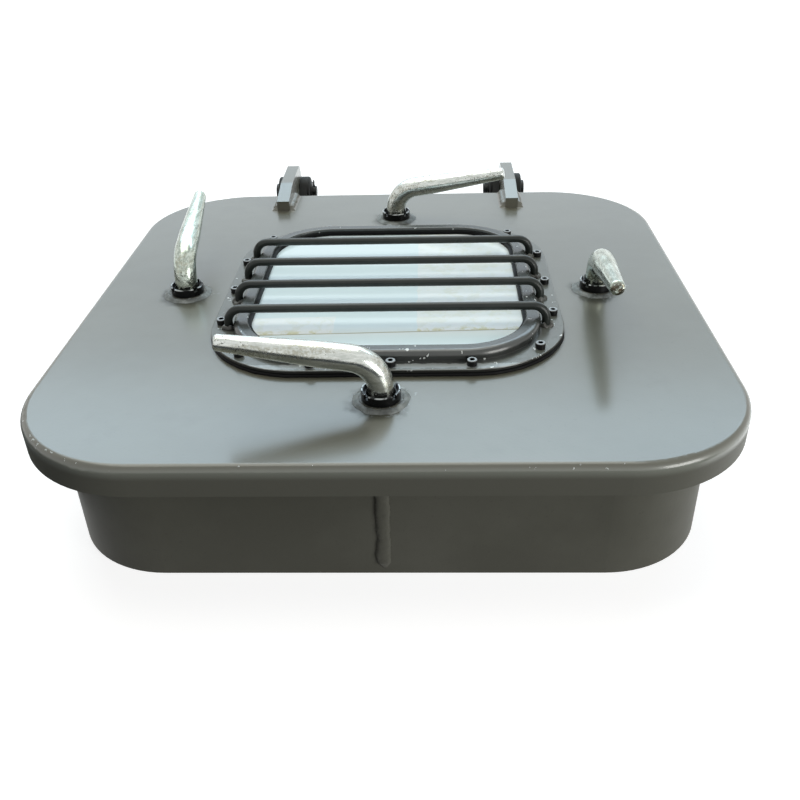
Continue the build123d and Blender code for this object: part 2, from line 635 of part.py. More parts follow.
def pin_split_place():
    """Place of the split pin in the hinge pin's inboard end, with Z up."""
    return Pos(-LUG_OUTER - WASHER_THICK - SPLIT_PIN_RADIUS - SPLIT_PIN_REACH / 2, PIN_Y, PIN_Z)


def hinge_washer():
    """Washer between the inboard cheek and the split pin."""
    face = -LUG_OUTER - WASHER_THICK
    return disc(PIN_RADIUS + PIN_WASHER_RIM, face, -LUG_OUTER) - disc(PIN_RADIUS + SLIP, face, -LUG_OUTER)


def hinge_split_pin():
    """Split pin in the hinge pin's end, its eye on top."""
    return pin_split_place() * Rot(0, -90, 0) * split_pin(2 * PIN_RADIUS)


def both_hinges(part):
    """A hinge piece at the right and its mirror image at the left."""
    right = Pos(HINGE_X, 0, 0) * part
    return right, mirror(right, about=Plane.YZ)


def group(solids):
    """Keep separate solids together in one node."""
    return Compound(children=[solid for part in solids for solid in part.solids()])


def all_parts():
    """Every node of the hatch by name."""
    parts = {"coaming": coaming(), "lid_plate": lid_plate()}
    parts["seal_retainer_outer"] = seal_retainer(WALL_MIDDLE + SEAL_WIDTH / 2 + RETAINER_WIDTH)
    parts["seal_retainer_inner"] = seal_retainer(WALL_MIDDLE - SEAL_WIDTH / 2)
    parts["lid_seal"] = lid_seal()
    parts["window_seat"] = window_seat()
    parts["glass_bed"] = glass_bed()
    parts["window_glass"] = window_glass()
    parts["glass_seal"] = glass_seal()
    parts["window_gasket"] = window_gasket()
    parts["window_frame"] = window_frame()
    screw = window_screw()
    parts["window_screws"] = group([Pos(place.X, place.Y, 0) * screw for place in screw_places()])
    for number in range(BAR_COUNT):
        y = WINDOW_Y + BAR_SHIFT + (number - (BAR_COUNT - 1) / 2) * BAR_PITCH
        parts["guard_bar_%d" % (number + 1)] = guard_bar(y)
    fixed = {"catch": catch(), "gland_boss": gland_boss(), "gland_nut": gland_nut()}
    moving = {"handle": handle(), "dog_finger": dog_finger(), "dog_washer": dog_washer(),
              "dog_nut": dog_nut(), "dog_split_pin": dog_split_pin()}
    for name in DOG_PLACE_ANGLE:
        for kind, part in fixed.items():
            parts[kind + "_" + name] = at_dog(part, name)
        for kind, part in moving.items():
            parts[kind + "_" + name] = turned_dog(part, name)
    parts["gland_packings"] = group([at_dog(gland_packing(), name) for name in DOG_PLACE_ANGLE])
    hinge = {"hinge_arm": hinge_arm(), "hinge_bush": hinge_bush(), "hinge_bracket": hinge_bracket(),
             "hinge_pin": hinge_pin()}
    for kind, part in hinge.items():
        parts[kind + "_right"], parts[kind + "_left"] = both_hinges(part)
    parts["hinge_washers"] = group(both_hinges(hinge_washer()))
    parts["hinge_split_pins"] = group(both_hinges(hinge_split_pin()))
    return parts


os.makedirs("parts", exist_ok=True)
for node, shape in all_parts().items():
    export_step(shape, "parts/" + node + ".step")
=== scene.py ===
import math

import bmesh
import bpy
from mathutils import Matrix, Vector, noise


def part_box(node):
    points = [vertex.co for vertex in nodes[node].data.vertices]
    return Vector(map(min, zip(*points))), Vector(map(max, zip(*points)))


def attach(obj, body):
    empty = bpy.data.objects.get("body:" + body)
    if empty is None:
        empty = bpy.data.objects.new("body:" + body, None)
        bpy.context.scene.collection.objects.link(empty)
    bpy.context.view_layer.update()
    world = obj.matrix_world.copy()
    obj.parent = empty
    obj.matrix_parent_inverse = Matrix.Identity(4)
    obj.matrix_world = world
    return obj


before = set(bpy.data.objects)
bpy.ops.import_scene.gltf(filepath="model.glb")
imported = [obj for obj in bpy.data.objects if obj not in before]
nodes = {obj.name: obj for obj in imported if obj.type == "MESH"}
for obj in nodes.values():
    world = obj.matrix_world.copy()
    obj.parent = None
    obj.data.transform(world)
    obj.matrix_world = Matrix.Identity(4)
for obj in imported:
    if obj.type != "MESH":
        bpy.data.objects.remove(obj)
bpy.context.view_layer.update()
sides = ("near", "right", "far", "left")


def middle(name):
    low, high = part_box(name)
    return (low + high) / 2


# places read from the solids
flangeThick = 0.003
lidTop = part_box("lid_plate")[1].z
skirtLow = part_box("lid_plate")[0].z
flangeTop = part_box("window_gasket")[1].z + flangeThick
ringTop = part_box("window_frame")[1].z
windowY = middle("window_frame").y
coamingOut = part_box("coaming")[1].x
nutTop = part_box("gland_nut_near")[1].z
dogCentres = {name: middle("gland_nut_" + name) for name in sides}
print("frame loaded,", len(nodes), "nodes")


# objects

def addObject(name, data):
    made = bpy.data.objects.new(name, data)
    bpy.context.scene.collection.objects.link(made)
    return made


def meshObject(name, mesh, material):
    # turns a finished bmesh into an object with one material
    data = bpy.data.meshes.new(name)
    mesh.to_mesh(data)
    mesh.free()
    data.materials.append(material)
    return addObject(name, data)


# colours and sockets

def rgb(red, green, blue):
    # a colour picked as 0 to 255, in the linear values that sockets take
    linear = []
    for level in (red / 255, green / 255, blue / 255):
        linear.append(level / 12.92 if level <= 0.04 else ((level + 0.055) / 1.055) ** 2.4)
    return (*linear, 1)


def plug(tree, value, socket):
    # a socket is linked, anything else is written as the socket's value
    if isinstance(value, bpy.types.NodeSocket):
        tree.links.new(value, socket)
    else:
        socket.default_value = value


def addNode(tree, kind, inputs=None, **settings):
    node = tree.nodes.new("ShaderNode" + kind)
    for key, value in settings.items():
        setattr(node, key, value)
    for key, value in (inputs or {}).items():
        plug(tree, value, node.inputs[key])
    return node


def calc(tree, operation, *values):
    node = addNode(tree, "Math", operation=operation)
    for number, value in enumerate(values):
        plug(tree, value, node.inputs[number])
    return node.outputs[0]


def rise(tree, value, low, high):
    # smooth rise from 0 at low to 1 at high
    node = addNode(tree, "MapRange", {"Value": value, "From Min": low, "From Max": high},
                   interpolation_type="SMOOTHSTEP", clamp=True)
    return node.outputs["Result"]


def fall(tree, value, low, high):
    return calc(tree, "SUBTRACT", 1.0, rise(tree, value, low, high))


def spread(tree, value, low, high):
    # turns 0 to 1 into low to high
    node = addNode(tree, "MapRange", {"Value": value, "To Min": low, "To Max": high}, clamp=True)
    return node.outputs["Result"]


def span(level, offsets):
    # two levels, given by how far they lie above one level
    return level + offsets[0], level + offsets[1]


def product(tree, *values):
    total = values[0]
    for value in values[1:]:
        total = calc(tree, "MULTIPLY", total, value)
    return total


def mixColour(tree, factor, first, second):
    node = addNode(tree, "Mix", data_type="RGBA")
    plug(tree, factor, node.inputs[0])
    plug(tree, first, node.inputs[6])
    plug(tree, second, node.inputs[7])
    return node.outputs[2]


def noiseAt(tree, place, scale, detail=3.0, roughness=0.55):
    inputs = {"Vector": place, "Scale": scale, "Detail": detail, "Roughness": roughness}
    return addNode(tree, "TexNoise", inputs).outputs["Fac"]


def objectPlace(tree):
    return addNode(tree, "TexCoord").outputs["Object"]


def axisParts(tree, place):
    return addNode(tree, "SeparateXYZ", {"Vector": place}).outputs


# shared effects

def newGroup(name, inputs, output):
    group = bpy.data.node_groups.new(name, "ShaderNodeTree")
    for label, value in inputs.items():
        socket = group.interface.new_socket(name=label, in_out="INPUT", socket_type="NodeSocketFloat")
        socket.default_value = value
    group.interface.new_socket(name=output, in_out="OUTPUT", socket_type="NodeSocketFloat")
    given = group.nodes.new("NodeGroupInput").outputs
    result = group.nodes.new("NodeGroupOutput").inputs[output]
    return group, given, result


def useGroup(tree, group, **values):
    node = tree.nodes.new("ShaderNodeGroup")
    node.node_tree = group
    for key, value in values.items():
        plug(tree, value, node.inputs[key])
    return node.outputs[0]


def patchGroup():
    # soft patches of tone
    inputs = {"Scale": 8.0, "Low": 0.4, "High": 0.65}
    group, given, result = newGroup("softPatches", inputs, "Mask")
    tone = noiseAt(group, objectPlace(group), given["Scale"], detail=4.0, roughness=0.6)
    group.links.new(rise(group, tone, given["Low"], given["High"]), result)
    return group


def peelGroup():
    # fine orange peel of sprayed paint over a slower waviness
    inputs = {"Fine": 420.0, "Slow": 26.0, "Wave": 2.5}
    group, given, result = newGroup("sprayedPeel", inputs, "Height")
    place = objectPlace(group)
    fine = noiseAt(group, place, given["Fine"], detail=2.0, roughness=0.5)
    slow = noiseAt(group, place, given["Slow"], detail=2.0, roughness=0.5)
    group.links.new(calc(group, "MULTIPLY_ADD", slow, given["Wave"], fine), result)
    return group


def chipGroup():
    # small knocks in the paint between two levels, in clusters
    inputs = {"Low": 0.0, "High": 1.0, "Scale": 160.0, "Amount": 0.7}
    group, given, result = newGroup("edgeChips", inputs, "Mask")
    place = objectPlace(group)
    level = axisParts(group, place)["Z"]
    above = calc(group, "GREATER_THAN", level, given["Low"])
    below = calc(group, "LESS_THAN", level, given["High"])
    cluster = noiseAt(group, place, 11.0, detail=2.0, roughness=0.5)
    grain = noiseAt(group, place, given["Scale"], detail=2.0, roughness=0.6)
    speck = calc(group, "MULTIPLY_ADD", cluster, 0.3, grain)
    picked = calc(group, "GREATER_THAN", speck, given["Amount"])
    group.links.new(product(group, above, below, picked), result)
    return group


def raggedRingGroup():
    # a ring round an upright axis, dense at the inner radius and ragged outside, used for grime with painted
    # shade, for wear and for the nuts' inner edge
    inputs = {"CentreX": 0.0, "CentreY": 0.0, "Inner": 0.02, "Outer": 0.04, "Ragged": 0.03}
    group, given, result = newGroup("raggedRing", inputs, "Mask")
    place = objectPlace(group)
    part = axisParts(group, place)
    acrossX = calc(group, "SUBTRACT", part["X"], given["CentreX"])
    acrossY = calc(group, "SUBTRACT", part["Y"], given["CentreY"])
    squares = calc(group, "ADD", product(group, acrossX, acrossX), product(group, acrossY, acrossY))
    waver = calc(group, "SUBTRACT", noiseAt(group, place, 75.0, detail=4.0, roughness=0.65), 0.5)
    away = calc(group, "MULTIPLY_ADD", waver, given["Ragged"], calc(group, "SQRT", squares))
    group.links.new(fall(group, away, given["Inner"], given["Outer"]), result)
    return group


softPatches = patchGroup()
sprayedPeel = peelGroup()
edgeChips = chipGroup()
raggedRing = raggedRingGroup()


# materials

bumpDepth = 0.0006


def emptyMaterial(name):
    material = bpy.data.materials.new(name)
    material.use_nodes = True
    material.node_tree.nodes.clear()
    return material, material.node_tree


def newMaterial(name):
    material, tree = emptyMaterial(name)
    shader = addNode(tree, "BsdfPrincipled")
    addNode(tree, "OutputMaterial", {"Surface": shader.outputs["BSDF"]})
    return material, tree, shader


def bumpFrom(tree, shader, height, strength, depth=bumpDepth):
    bump = addNode(tree, "Bump", {"Height": height, "Strength": strength, "Distance": depth})
    tree.links.new(bump.outputs["Normal"], shader.inputs["Normal"])


def finish(tree, shader, colour, rough, more=None):
    # more holds any other inputs of the shader
    for key, value in {"Base Color": colour, "Roughness": rough, **(more or {})}.items():
        plug(tree, value, shader.inputs[key])


def startPaint(name, paint):
    # sprayed marine paint: two close tones, a few specks and an uneven gloss
    material, tree, shader = newMaterial(name)
    place = objectPlace(tree)
    soft = useGroup(tree, softPatches, Scale=paint["patch"], Low=0.36, High=0.68)
    colour = mixColour(tree, soft, paint["tone"], paint["cloud"])
    specks = rise(tree, noiseAt(tree, place, 300.0, detail=2.0, roughness=0.6), 0.66, 0.74)
    colour = mixColour(tree, product(tree, specks, 0.25), colour, paint["speck"])
    rough = spread(tree, noiseAt(tree, place, 18.0), *paint["gloss"])
    shader.inputs["IOR"].default_value = paint["ior"]
    peel = useGroup(tree, sprayedPeel, Fine=paint["fine"], Wave=paint["wave"])
    bumpFrom(tree, shader, peel, paint["bump"])
    return material, tree, shader, colour, rough


def roundDog(tree, centre, ring, shift=(0, 0)):
    # a ring round a dog's axis, or a little to one side of it, used for grime with painted shade and for wear
    return useGroup(tree, raggedRing, CentreX=centre.x + shift[0], CentreY=centre.y + shift[1], **ring)


def plainPaint(name, paint):
    material, tree, shader, colour, rough = startPaint(name, paint)
    finish(tree, shader, colour, rough)
    return material


def lidPaint():
    # the level top keeps its sheen, which is a coat, and the upright sides are duller; the pale rounded edge
    # is a painted highlight, and the upright sides get a lighter tone than the top as painted light
    values = {"tone": rgb(83, 82, 69), "cloud": rgb(91, 90, 77), "speck": rgb(68, 68, 58),
              "patch": 5.0, "gloss": (0.42, 0.5), "ior": 1.3, "fine": 380.0, "wave": 3.0, "bump": 0.1,
              "side": rgb(106, 106, 98), "edge": rgb(140, 143, 134), "chip": rgb(206, 212, 210),
              "smear": rgb(72, 71, 59), "smearShare": 0.3, "grimeAndShade": rgb(34, 36, 34), "grimeAndShadeShare": 0.55,
              "bare": rgb(168, 174, 172), "bareShare": 0.35, "grimeAndShadeSheen": 0.3, "coatRough": 0.21,
              "coatIor": 1.6, "sheenEdge": (-0.014, -0.006), "topEdge": (-0.005, -0.0005),
              "chipEdge": (-0.0042, -0.0004), "grimeAndShadeRing": {"Inner": 0.02, "Outer": 0.034},
              "grimeAndShadeShift": (-0.002, -0.005), "bareRing": {"Inner": 0.026, "Outer": 0.031},
              "bareShift": (0.005, 0)}
    material, tree, shader, colour, rough = startPaint("lidPaint", values)
    place = objectPlace(tree)
    level = axisParts(tree, place)["Z"]
    smear = useGroup(tree, softPatches, Scale=13.0, Low=0.56, High=0.74)
    colour = mixColour(tree, product(tree, smear, values["smearShare"]), colour, values["smear"])
    sheen = rise(tree, level, *span(lidTop, values["sheenEdge"]))
    # painted highlight on the rounded edge where the sheen band reaches, and painted light as a lighter tone
    # on the upright sides below
    upright = mixColour(tree, sheen, values["side"], values["edge"])
    colour = mixColour(tree, fall(tree, level, *span(lidTop, values["topEdge"])), colour, upright)
    streaky = rise(tree, noiseAt(tree, place, 170.0, detail=3.0, roughness=0.6), 0.58, 0.64)
    for centre in dogCentres.values():
        # grime with painted shade in a ring round each collar's foot, shifted towards the front, where the
        # coat's sheen is cut too
        grimeAndShade = roundDog(tree, centre, values["grimeAndShadeRing"], values["grimeAndShadeShift"])
        colour = mixColour(tree, product(tree, grimeAndShade, values["grimeAndShadeShare"]), colour, values["grimeAndShade"])
        rubbed = roundDog(tree, centre, values["bareRing"], values["bareShift"])
        colour = mixColour(tree, product(tree, rubbed, streaky, values["bareShare"]), colour, values["bare"])
        sheen = product(tree, sheen, spread(tree, grimeAndShade, 1.0, values["grimeAndShadeSheen"]))
    low, high = span(lidTop, values["chipEdge"])
    chipped = useGroup(tree, edgeChips, Low=low, High=high, Scale=260.0, Amount=0.87)
    coat = {"Coat Weight": sheen, "Coat Roughness": values["coatRough"], "Coat IOR": values["coatIor"]}
    finish(tree, shader, mixColour(tree, chipped, colour, values["chip"]), rough, coat)
    return material


def coamingPaint():
    # the lid's paint in a lighter tone of its own, which stands in for light on the shaded upright coaming:
    # painted light
    return plainPaint("coamingPaint", {
        "tone": rgb(98, 98, 90), "cloud": rgb(107, 107, 99), "speck": rgb(80, 80, 74),
        "patch": 6.0, "gloss": (0.4, 0.52), "ior": 1.2, "fine": 300.0, "wave": 2.5, "bump": 0.12})


def inFrontOfRing(tree, part, ring):
    # 1 close in front of the window's ring, by the distance along Y to its rounded outline; there the flange
    # keeps its darker tone as painted shade and reflection of the ring
    aside = calc(tree, "ABSOLUTE", part["X"])
    into = calc(tree, "MAXIMUM", calc(tree, "SUBTRACT", aside, ring["halfX"] - ring["corner"]), 0.0)
    squares = calc(tree, "SUBTRACT", ring["corner"] ** 2, product(tree, into, into))
    depth = calc(tree, "SQRT", calc(tree, "MAXIMUM", squares, 0.0))
    cornerY = windowY - ring["halfY"] + ring["corner"]
    away = calc(tree, "SUBTRACT", cornerY, calc(tree, "ADD", part["Y"], depth))
    ahead = product(tree, rise(tree, away, *ring["foot"]), fall(tree, away, *ring["shaded"]))
    return product(tree, ahead, fall(tree, aside, *span(ring["halfX"], ring["sideEdge"])))


def framePaint():
    # darker paint on the window's frame, with painted shade on the ring's walls and under the flange's top;
    # the flange is paler except close in front of the ring, where a painted shade and reflection of the ring
    # stays dark, and a strip along the flange's front is paler still, partly rubbed and partly a painted
    # highlight
    values = {"tone": rgb(64, 67, 65), "cloud": rgb(73, 76, 74), "speck": rgb(50, 52, 50),
              "patch": 14.0, "gloss": (0.17, 0.27), "ior": 1.62, "fine": 420.0, "wave": 2.5, "bump": 0.12,
              "open": rgb(98, 100, 94), "lowSide": rgb(14, 15, 15), "scratch": rgb(222, 226, 224),
              "shade": rgb(34, 36, 35), "shadeShare": 0.8, "rubbed": rgb(160, 165, 165), "litAndRubbedShare": 0.9,
              "wear": rgb(58, 56, 52), "wearShare": 0.45, "flangeSide": 0.024, "flangeEnd": 0.0155,
              "ringCorner": 0.084, "ringShade": (0.004, 0.008), "lowEdge": (-0.0012, -0.0006),
              "flatFrom": (-0.001, -0.0004), "flatTo": (0.0004, 0.0012), "wallFrom": (0.0008, 0.0016),
              "wallTo": (-0.006, -0.0035), "chipEdge": (-0.0012, 0.0115), "stripUneven": 0.006,
              "stripFrom": (0.005, 0.0075), "stripTo": (0.0135, 0.016)}
    low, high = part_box("window_frame")
    ring = {"halfX": high.x - values["flangeSide"], "halfY": (high.y - low.y) / 2 - values["flangeEnd"],
            "corner": values["ringCorner"], "shaded": values["ringShade"], "foot": (-0.002, 0.0),
            "sideEdge": (-0.004, 0.001)}
    material, tree, shader, colour, rough = startPaint("framePaint", values)
    place = objectPlace(tree)
    part = axisParts(tree, place)
    level = part["Z"]
    # painted shade on the ring's upright walls, from just over the flange to just under the ring's top
    walls = product(tree, rise(tree, level, *span(flangeTop, values["wallFrom"])),
                    fall(tree, level, *span(ringTop, values["wallTo"])))
    colour = mixColour(tree, product(tree, walls, values["shadeShare"]), colour, values["shade"])
    # painted shade: the flange's upright edge and all below it are made nearly black
    lowSide = fall(tree, level, *span(flangeTop, values["lowEdge"]))
    colour = mixColour(tree, lowSide, colour, values["lowSide"])
    flat = product(tree, rise(tree, level, *span(flangeTop, values["flatFrom"])),
                   fall(tree, level, *span(flangeTop, values["flatTo"])))
    # painted shade and reflection of the ring: the flange's flat top turns pale except close in front of the
    # ring
    clear = calc(tree, "SUBTRACT", 1.0, inFrontOfRing(tree, part, ring))
    colour = mixColour(tree, product(tree, flat, clear), colour, values["open"])
    # a paler strip along the flange's front, partly rubbed wear and partly a painted highlight on the
    # flange's top
    waver = noiseAt(tree, place, 120.0, detail=3.0, roughness=0.6)
    depth = calc(tree, "MULTIPLY_ADD", waver, values["stripUneven"], part["Y"])
    rubbed = product(tree, flat, rise(tree, depth, *span(low.y, values["stripFrom"])),
                     fall(tree, depth, *span(low.y, values["stripTo"])))
    colour = mixColour(tree, product(tree, rubbed, values["litAndRubbedShare"]), colour, values["rubbed"])
    grime = useGroup(tree, softPatches, Scale=38.0, Low=0.55, High=0.72)
    colour = mixColour(tree, product(tree, grime, values["wearShare"]), colour, values["wear"])
    chipsLow, chipsHigh = span(flangeTop, values["chipEdge"])
    chipped = useGroup(tree, edgeChips, Low=chipsLow, High=chipsHigh, Scale=150.0, Amount=0.86)
    finish(tree, shader, mixColour(tree, chipped, colour, values["scratch"]), rough)
    return material


def guardPaint():
    return plainPaint("guardPaint", {
        "tone": rgb(36, 41, 39), "cloud": rgb(46, 51, 48), "speck": rgb(26, 28, 27),
        "patch": 20.0, "gloss": (0.24, 0.34), "ior": 1.4, "fine": 500.0, "wave": 2.0, "bump": 0.14})


def collarPaint():
    # dull paint on the rough weld round each boss, painted paler than the lid's paint so that it matches the
    # lid's sheen as painted reflection, with painted shade on its front
    values = {"tone": rgb(108, 112, 110), "cloud": rgb(146, 150, 148), "speck": rgb(60, 62, 60),
              "patch": 90.0, "gloss": (0.44, 0.58), "ior": 1.4, "fine": 500.0, "wave": 2.0, "bump": 0.3,
              "grimeAndShade": rgb(46, 49, 47), "grimeAndShadeShare": 0.7, "grimeAndShadeRing": {"Inner": 0.012, "Outer": 0.023},
              "grimeAndShadeShift": (0.001, -0.007)}
    material, tree, shader, colour, rough = startPaint("collarPaint", values)
    for centre in dogCentres.values():
        # painted shade on the front of each weld
        grimeAndShade = roundDog(tree, centre, values["grimeAndShadeRing"], values["grimeAndShadeShift"])
        colour = mixColour(tree, product(tree, grimeAndShade, values["grimeAndShadeShare"]), colour, values["grimeAndShade"])
    finish(tree, shader, colour, rough)
    return material


def weldPaint():
    return plainPaint("weldPaint", {
        "tone": rgb(62, 62, 58), "cloud": rgb(96, 97, 92), "speck": rgb(36, 36, 34),
        "patch": 60.0, "gloss": (0.36, 0.5), "ior": 1.55, "fine": 500.0, "wave": 2.0, "bump": 0.3})


def bracketPaint():
    return plainPaint("bracketPaint", {
        "tone": rgb(31, 32, 31), "cloud": rgb(42, 43, 41), "speck": rgb(20, 20, 20),
        "patch": 16.0, "gloss": (0.55, 0.65), "ior": 1.3, "fine": 420.0, "wave": 2.0, "bump": 0.16})


def galvanised(name, zinc, stretch=(1, 1, 1), wear=None):
    # zinc coat: streaks along the rod, stains and pits, and at wear an end that is rubbed brown
    material, tree, shader = newMaterial(name)
    place = objectPlace(tree)
    drawn = addNode(tree, "VectorMath", {0: place, 1: stretch}, operation="MULTIPLY").outputs[0]
    grain = noiseAt(tree, drawn, zinc["grain"], detail=5.0, roughness=0.7)
    colour = mixColour(tree, rise(tree, grain, 0.34, 0.66), zinc["dark"], zinc["light"])
    broad = noiseAt(tree, drawn, zinc["stainScale"], detail=4.0, roughness=0.6)
    close = noiseAt(tree, place, 380.0, detail=3.0, roughness=0.6)
    stain = product(tree, rise(tree, broad, 0.47, 0.6), rise(tree, close, 0.36, 0.6))
    colour = mixColour(tree, product(tree, stain, zinc["stainAmount"]), colour, zinc["stain"])
    pits = rise(tree, noiseAt(tree, place, 420.0, detail=3.0, roughness=0.65), 0.56, 0.64)
    few = product(tree, pits, useGroup(tree, softPatches, Scale=30.0, Low=0.44, High=0.6))
    colour = mixColour(tree, product(tree, few, 0.85), colour, zinc["pit"])
    if wear:
        axis, edge = wear
        end = fall(tree, axisParts(tree, place)[axis], *span(edge, (0.001, 0.0035)))
        patchy = rise(tree, noiseAt(tree, place, 330.0, detail=3.0, roughness=0.6), 0.4, 0.56)
        colour = mixColour(tree, product(tree, end, patchy, 0.9), colour, zinc["worn"])
    rough = calc(tree, "MULTIPLY_ADD", stain, 0.12, calc(tree, "MULTIPLY_ADD", grain, 0.12, zinc["rough"]))
    finish(tree, shader, colour, rough, {"Metallic": zinc["metal"]})
    ridges = noiseAt(tree, drawn, 190.0, detail=4.0, roughness=0.6)
    height = calc(tree, "SUBTRACT", ridges, product(tree, few, 0.9))
    bumpFrom(tree, shader, height, zinc["bump"])
    return material


def handleZinc(name, dark, light, stretch, wear):
    return galvanised(name, {
        "grain": 250.0, "dark": dark, "light": light, "stain": rgb(136, 130, 102), "stainScale": 70.0,
        "stainAmount": 0.5, "pit": rgb(58, 48, 32), "worn": rgb(74, 60, 40), "rough": 0.12, "metal": 0.95,
        "bump": 0.35}, stretch, wear)


def fittingZinc():
    return galvanised("fittingZinc", {
        "grain": 300.0, "dark": rgb(116, 120, 120), "light": rgb(150, 154, 152), "stain": rgb(104, 98, 86),
        "stainScale": 60.0, "stainAmount": 0.4, "pit": rgb(60, 56, 50), "rough": 0.3, "metal": 0.9,
        "bump": 0.3})


def darkFitting():
    return galvanised("darkFitting", {
        "grain": 300.0, "dark": rgb(26, 27, 27), "light": rgb(44, 45, 44), "stain": rgb(38, 34, 29),
        "stainScale": 60.0, "stainAmount": 0.4, "pit": rgb(16, 15, 14), "rough": 0.34, "metal": 0.5,
        "bump": 0.3})


def glandSteel():
    # black nut whose outer top edge is worn bright
    values = {"body": rgb(24, 25, 26), "rim": rgb(172, 176, 176), "rimEdge": (-0.0011, -0.0006),
              "inside": {"Inner": 0.0166, "Outer": 0.0172, "Ragged": 0.0}, "gloss": (0.2, 0.38),
              "metal": 0.7, "bump": 0.2}
    material, tree, shader = newMaterial("glandSteel")
    place = objectPlace(tree)
    worn = noiseAt(tree, place, 150.0, detail=3.0, roughness=0.6)
    rim = product(tree, rise(tree, axisParts(tree, place)["Z"], *span(nutTop, values["rimEdge"])),
                  rise(tree, worn, 0.4, 0.58))
    for centre in dogCentres.values():
        inside = roundDog(tree, centre, values["inside"])
        rim = product(tree, rim, calc(tree, "SUBTRACT", 1.0, inside))
    colour = mixColour(tree, rim, values["body"], values["rim"])
    rough = spread(tree, worn, *values["gloss"])
    finish(tree, shader, colour, rough, {"Metallic": values["metal"]})
    bumpFrom(tree, shader, worn, values["bump"])
    return material


def screwBlack():
    # black screw heads with a painted highlight on their upper faces
    values = {"body": rgb(18, 18, 19), "top": rgb(150, 152, 152), "topEdge": (0.0053, 0.0057),
              "gloss": (0.26, 0.46), "metal": 0.5}
    material, tree, shader = newMaterial("screwBlack")
    place = objectPlace(tree)
    level = axisParts(tree, place)["Z"]
    grain = noiseAt(tree, place, 420.0)
    high = rise(tree, level, *span(flangeTop, values["topEdge"]))
    # painted highlight on the upper faces
    bright = product(tree, high, spread(tree, grain, 0.6, 1.0))
    colour = mixColour(tree, bright, values["body"], values["top"])
    rough = spread(tree, grain, *values["gloss"])
    finish(tree, shader, colour, rough, {"Metallic": values["metal"]})
    return material


def softBlack(name, tone, roughness):
    # dull black with a little dust
    values = {"dust": rgb(38, 39, 38), "dustShare": 0.25, "uneven": (-0.08, 0.08), "ior": 1.22, "bump": 0.12}
    material, tree, shader = newMaterial(name)
    place = objectPlace(tree)
    dust = useGroup(tree, softPatches, Scale=60.0, Low=0.45, High=0.75)
    colour = mixColour(tree, product(tree, dust, values["dustShare"]), tone, values["dust"])
    rough = spread(tree, noiseAt(tree, place, 90.0), *span(roughness, values["uneven"]))
    finish(tree, shader, colour, rough, {"IOR": values["ior"]})
    bumpFrom(tree, shader, noiseAt(tree, place, 700.0), values["bump"], bumpDepth / 2)
    return material


def bronze():
    values = {"dark": rgb(146, 104, 58), "light": rgb(186, 142, 86), "gloss": (0.3, 0.45), "metal": 0.95}
    material, tree, shader = newMaterial("bronze")
    grain = noiseAt(tree, objectPlace(tree), 120.0)
    colour = mixColour(tree, grain, values["dark"], values["light"])
    rough = spread(tree, grain, *values["gloss"])
    finish(tree, shader, colour, rough, {"Metallic": values["metal"]})
    return material


def windowGlass():
    # thick glass under a torn film, whiter on the right and in the near left corner, stained at its near edge
    values = {"haze": rgb(236, 250, 252), "film": rgb(253, 255, 254), "stain": rgb(206, 204, 138),
              "line": rgb(140, 136, 98), "right": 0.0315, "left": -0.0546, "leftDepth": -0.082,
              "lineDepth": -0.1205, "slope": 0.03, "lineHalf": 0.0011, "edge": 0.0006, "tear": 0.006,
              "stainEnd": 0.012, "gloss": (0.05, 0.14), "clear": 0.05, "ior": 1.5}
    material, tree, shader = newMaterial("windowGlass")
    place = objectPlace(tree)
    part = axisParts(tree, place)
    edge = (-values["edge"], values["edge"])
    ragged = noiseAt(tree, place, 60.0, detail=3.0, roughness=0.6)
    torn = calc(tree, "MULTIPLY_ADD", ragged, values["tear"], -values["tear"] / 2)
    across = calc(tree, "ADD", part["X"], torn)
    depth = calc(tree, "MULTIPLY_ADD", part["X"], -values["slope"], part["Y"])
    right = rise(tree, across, *span(values["right"], edge))
    left = product(tree, fall(tree, across, *span(values["left"], edge)),
                   fall(tree, depth, *span(values["leftDepth"], edge)))
    beyond = rise(tree, depth, *span(values["lineDepth"], edge))
    film = product(tree, calc(tree, "MAXIMUM", right, left), beyond)
    thick = spread(tree, noiseAt(tree, place, 90.0, detail=3.0, roughness=0.6), 0.3, 1.0)
    colour = mixColour(tree, product(tree, film, thick), values["haze"], values["film"])
    nearEdge = fall(tree, depth, *span(values["lineDepth"], (0.001, values["stainEnd"])))
    mottle = product(tree, useGroup(tree, softPatches, Scale=75.0, Low=0.46, High=0.62), film,
                     calc(tree, "MULTIPLY_ADD", nearEdge, 0.6, 0.15))
    colour = mixColour(tree, mottle, colour, values["stain"])
    offLine = calc(tree, "ABSOLUTE", calc(tree, "SUBTRACT", depth, values["lineDepth"]))
    line = fall(tree, offLine, values["lineHalf"] * 0.6, values["lineHalf"])
    colour = mixColour(tree, product(tree, line, 0.8), colour, values["line"])
    rough = spread(tree, noiseAt(tree, place, 24.0), *values["gloss"])
    finish(tree, shader, colour, rough, {"Transmission Weight": values["clear"], "IOR": values["ior"]})
    return material


def dress(material, *names):
    for name in names:
        data = nodes[name].data
        data.materials.clear()
        data.materials.append(material)


def perDog(*kinds):
    return [kind + "_" + name for kind in kinds for name in sides]


